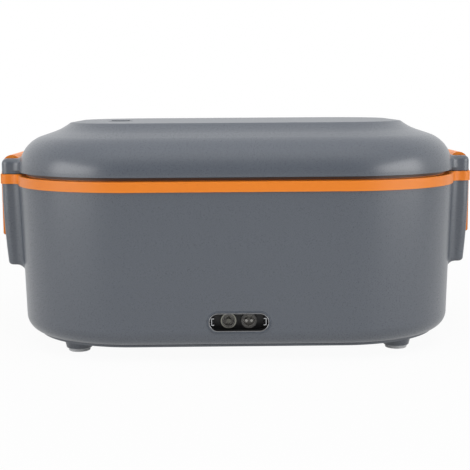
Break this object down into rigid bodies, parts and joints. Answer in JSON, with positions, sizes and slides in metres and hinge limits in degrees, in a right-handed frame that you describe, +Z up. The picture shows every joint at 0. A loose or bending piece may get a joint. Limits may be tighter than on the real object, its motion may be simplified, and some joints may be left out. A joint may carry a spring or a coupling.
{
  "type": "electric food warmer",
  "caption": "Electric food warmer: rounded grey casing with a heated chamber, lift-out steel container, domed lift-off lid held by orange flap latches, and a power inlet in front.",
  "frame": {"origin": "on the table under the middle of the casing, at the foot pads' rest plane", "axes": "+Z up, +X towards the right-hand latch, +Y to the back, so the power inlet faces -Y"},
  "size_m": [0.24, 0.17, 0.1112],
  "materials": {
    "casing_plastic": "fine satin moulding",
    "accent_plastic": "satin moulding",
    "liner_plastic": "satin moulding",
    "inlet_plastic": "satin moulding",
    "pad_rubber": "matt",
    "seal_silicone": "matt",
    "plug_silicone": "matt",
    "container_steel": "drawn and polished",
    "plate_aluminium": "brushed",
    "fastener_steel": "zinc plated",
    "contact_brass": "nickel-washed",
    "sleeve_metal": "plated",
    "thermostat_plastic": "matt phenolic",
    "lead_sleeve": "matt glass-silicone sleeve"
  },
  "bodies": {
    "base": {"outer_casing": "casing_plastic", "base_cover": "casing_plastic", "foot_pad_front_left": "pad_rubber", "foot_pad_front_right": "pad_rubber", "foot_pad_rear_left": "pad_rubber", "foot_pad_rear_right": "pad_rubber", "base_screws": "fastener_steel", "rim_band": "accent_plastic", "chamber_liner": "liner_plastic", "heating_plate": "plate_aluminium", "heating_plate_screws": "fastener_steel", "ptc_heater": "plate_aluminium", "heater_clamp": "fastener_steel", "heater_clamp_screws": "fastener_steel", "thermostat": "thermostat_plastic", "thermostat_screws": "fastener_steel", "thermal_fuse": "sleeve_metal", "inlet_socket": "inlet_plastic", "dc_sleeve": "sleeve_metal", "dc_pin": "contact_brass", "ac_pins": "contact_brass", "lead_live": "lead_sleeve", "lead_neutral": "lead_sleeve", "lead_link": "lead_sleeve"},
    "container": {"food_container": "container_steel"},
    "lid": {"lid_shell": "casing_plastic", "lid_panel": "liner_plastic", "lid_seal": "seal_silicone", "latch_pin_left": "fastener_steel", "latch_pin_right": "fastener_steel"},
    "latch_left": {"latch_left": "accent_plastic"},
    "latch_right": {"latch_right": "accent_plastic"},
    "vent_plug": {"vent_plug": "plug_silicone"}
  },
  "joints": [
    {"name": "container_lift", "type": "slide", "parent": "base", "child": "container", "axis": [0, 0, 1], "range_m": [0, 0.075]},
    {"name": "lid_lift", "type": "slide", "parent": "container", "child": "lid", "axis": [0, 0, 1], "range_m": [0, 0.06]},
    {"name": "latch_left_hinge", "type": "hinge", "parent": "lid", "child": "latch_left", "pos_m": [-0.1146, 0, 0.0897], "axis": [0, 1, 0], "range_deg": [0, 110]},
    {"name": "latch_right_hinge", "type": "hinge", "parent": "lid", "child": "latch_right", "pos_m": [0.1146, 0, 0.0897], "axis": [0, -1, 0], "range_deg": [0, 110]},
    {"name": "vent_lift", "type": "slide", "parent": "lid", "child": "vent_plug", "axis": [0, 0, 1], "range_m": [0, 0.006]}
  ]
}
